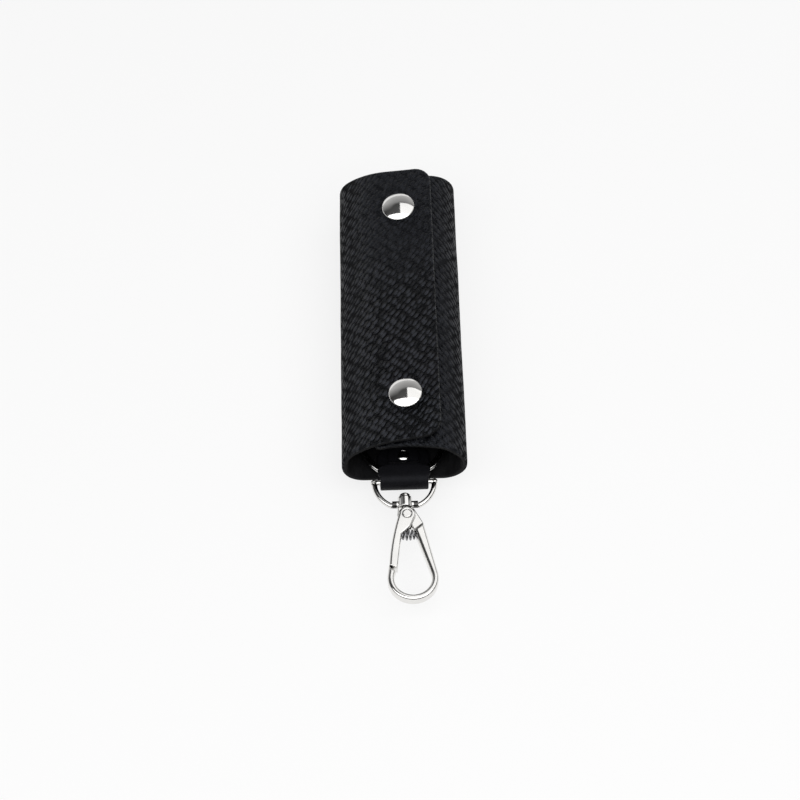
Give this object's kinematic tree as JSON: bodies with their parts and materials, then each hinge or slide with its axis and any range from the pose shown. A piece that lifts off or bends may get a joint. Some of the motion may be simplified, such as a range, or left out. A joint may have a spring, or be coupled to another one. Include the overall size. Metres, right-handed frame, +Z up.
{
  "type": "key case",
  "caption": "Folding leather key case with snapped flaps, a strap with split ring and swivel snap hook, and a row of key hooks inside.",
  "frame": {"origin": "centre of the back panel's flat outer face", "axes": "+X to the right seen from the strap end, +Y along the case away from the strap, +Z up through the flaps"},
  "size_m": [0.0446, 0.1718, 0.0263],
  "materials": {
    "black_leather": "pebbled",
    "strap_leather": "smooth",
    "bright_nickel": "polished",
    "nickel_steel": "nickel plated",
    "spring_steel": "dark"
  },
  "bodies": {
    "case": {"back_panel": "black_leather", "hang_strap": "strap_leather", "strap_rivet_post": "nickel_steel", "strap_rivet_cap": "bright_nickel", "key_plate": "nickel_steel", "key_rod": "nickel_steel", "key_rivets": "nickel_steel"},
    "outer_wall": {"outer_wall": "black_leather"},
    "outer_flap": {"outer_flap": "black_leather", "snap_caps": "bright_nickel", "snap_sockets": "nickel_steel"},
    "inner_wall": {"inner_wall": "black_leather"},
    "inner_flap": {"inner_flap": "black_leather", "snap_studs": "nickel_steel", "snap_posts": "nickel_steel"},
    "swivel_loop": {"swivel_loop": "bright_nickel"},
    "hook": {"hook_body": "bright_nickel", "gate_pivot": "bright_nickel", "gate_spring": "spring_steel"},
    "gate": {"gate": "bright_nickel"},
    "split_ring": {"split_ring": "nickel_steel"},
    "key_hook_1": {"key_hook_1": "nickel_steel"},
    "key_hook_2": {"key_hook_2": "nickel_steel"},
    "key_hook_3": {"key_hook_3": "nickel_steel"},
    "key_hook_4": {"key_hook_4": "nickel_steel"}
  },
  "joints": [
    {"name": "outer_wall_fold", "type": "hinge", "parent": "case", "child": "outer_wall", "pos_m": [-0.01991, 0, 0.00234], "axis": [0, -1, 0], "range_deg": [0, 71.5]},
    {"name": "outer_flap_fold", "type": "hinge", "parent": "outer_wall", "child": "outer_flap", "pos_m": [-0.02124, 0, 0.0141], "axis": [0, -1, 0], "range_deg": [0, 110]},
    {"name": "inner_wall_fold", "type": "hinge", "parent": "case", "child": "inner_wall", "pos_m": [0.01961, 0, 0.00264], "axis": [0, 1, 0], "range_deg": [0, 22]},
    {"name": "inner_flap_fold", "type": "hinge", "parent": "inner_wall", "child": "inner_flap", "pos_m": [0.01891, 0, 0.01828], "axis": [0, 1, 0], "range_deg": [0, 49.5]},
    {"name": "loop_swing", "type": "hinge", "parent": "case", "child": "swivel_loop", "pos_m": [-0.0004, -0.06331, 0.00406], "axis": [-1, 0, 0], "range_deg": [-75, 75]},
    {"name": "hook_swivel", "type": "hinge", "parent": "swivel_loop", "child": "hook", "pos_m": [-0.0004, -0.07196, 0.00406], "axis": [0, 1, 0], "continuous": true},
    {"name": "gate_hinge", "type": "hinge", "parent": "hook", "child": "gate", "pos_m": [0.0001, -0.07721, 0.00406], "axis": [0, 0, 1], "range_deg": [0, 20], "stiffness_Nm_per_rad": 0.03, "springref_deg": -17.19, "deforming": ["gate_spring"]},
    {"name": "ring_swing", "type": "hinge", "parent": "case", "child": "split_ring", "pos_m": [-0.0004, -0.06101, 0.00473], "axis": [1, 0, 0], "range_deg": [0, 20]},
    {"name": "key_hook_1_swing", "type": "hinge", "parent": "case", "child": "key_hook_1", "pos_m": [-0.0095, 0.044, 0.0039], "axis": [-1, 0, 0], "range_deg": [0, 25]},
    {"name": "key_hook_2_swing", "type": "hinge", "parent": "case", "child": "key_hook_2", "pos_m": [-0.0035, 0.044, 0.0039], "axis": [-1, 0, 0], "range_deg": [0, 25]},
    {"name": "key_hook_3_swing", "type": "hinge", "parent": "case", "child": "key_hook_3", "pos_m": [0.0025, 0.044, 0.0039], "axis": [-1, 0, 0], "range_deg": [0, 25]},
    {"name": "key_hook_4_swing", "type": "hinge", "parent": "case", "child": "key_hook_4", "pos_m": [0.0085, 0.044, 0.0039], "axis": [-1, 0, 0], "range_deg": [0, 25]}
  ],
  "couplings": [
    {"joint": "outer_wall_fold", "follows": "outer_flap_fold", "ratio": 0.65},
    {"joint": "inner_flap_fold", "follows": "outer_flap_fold", "ratio": 0.45},
    {"joint": "inner_wall_fold", "follows": "outer_flap_fold", "ratio": 0.2}
  ]
}
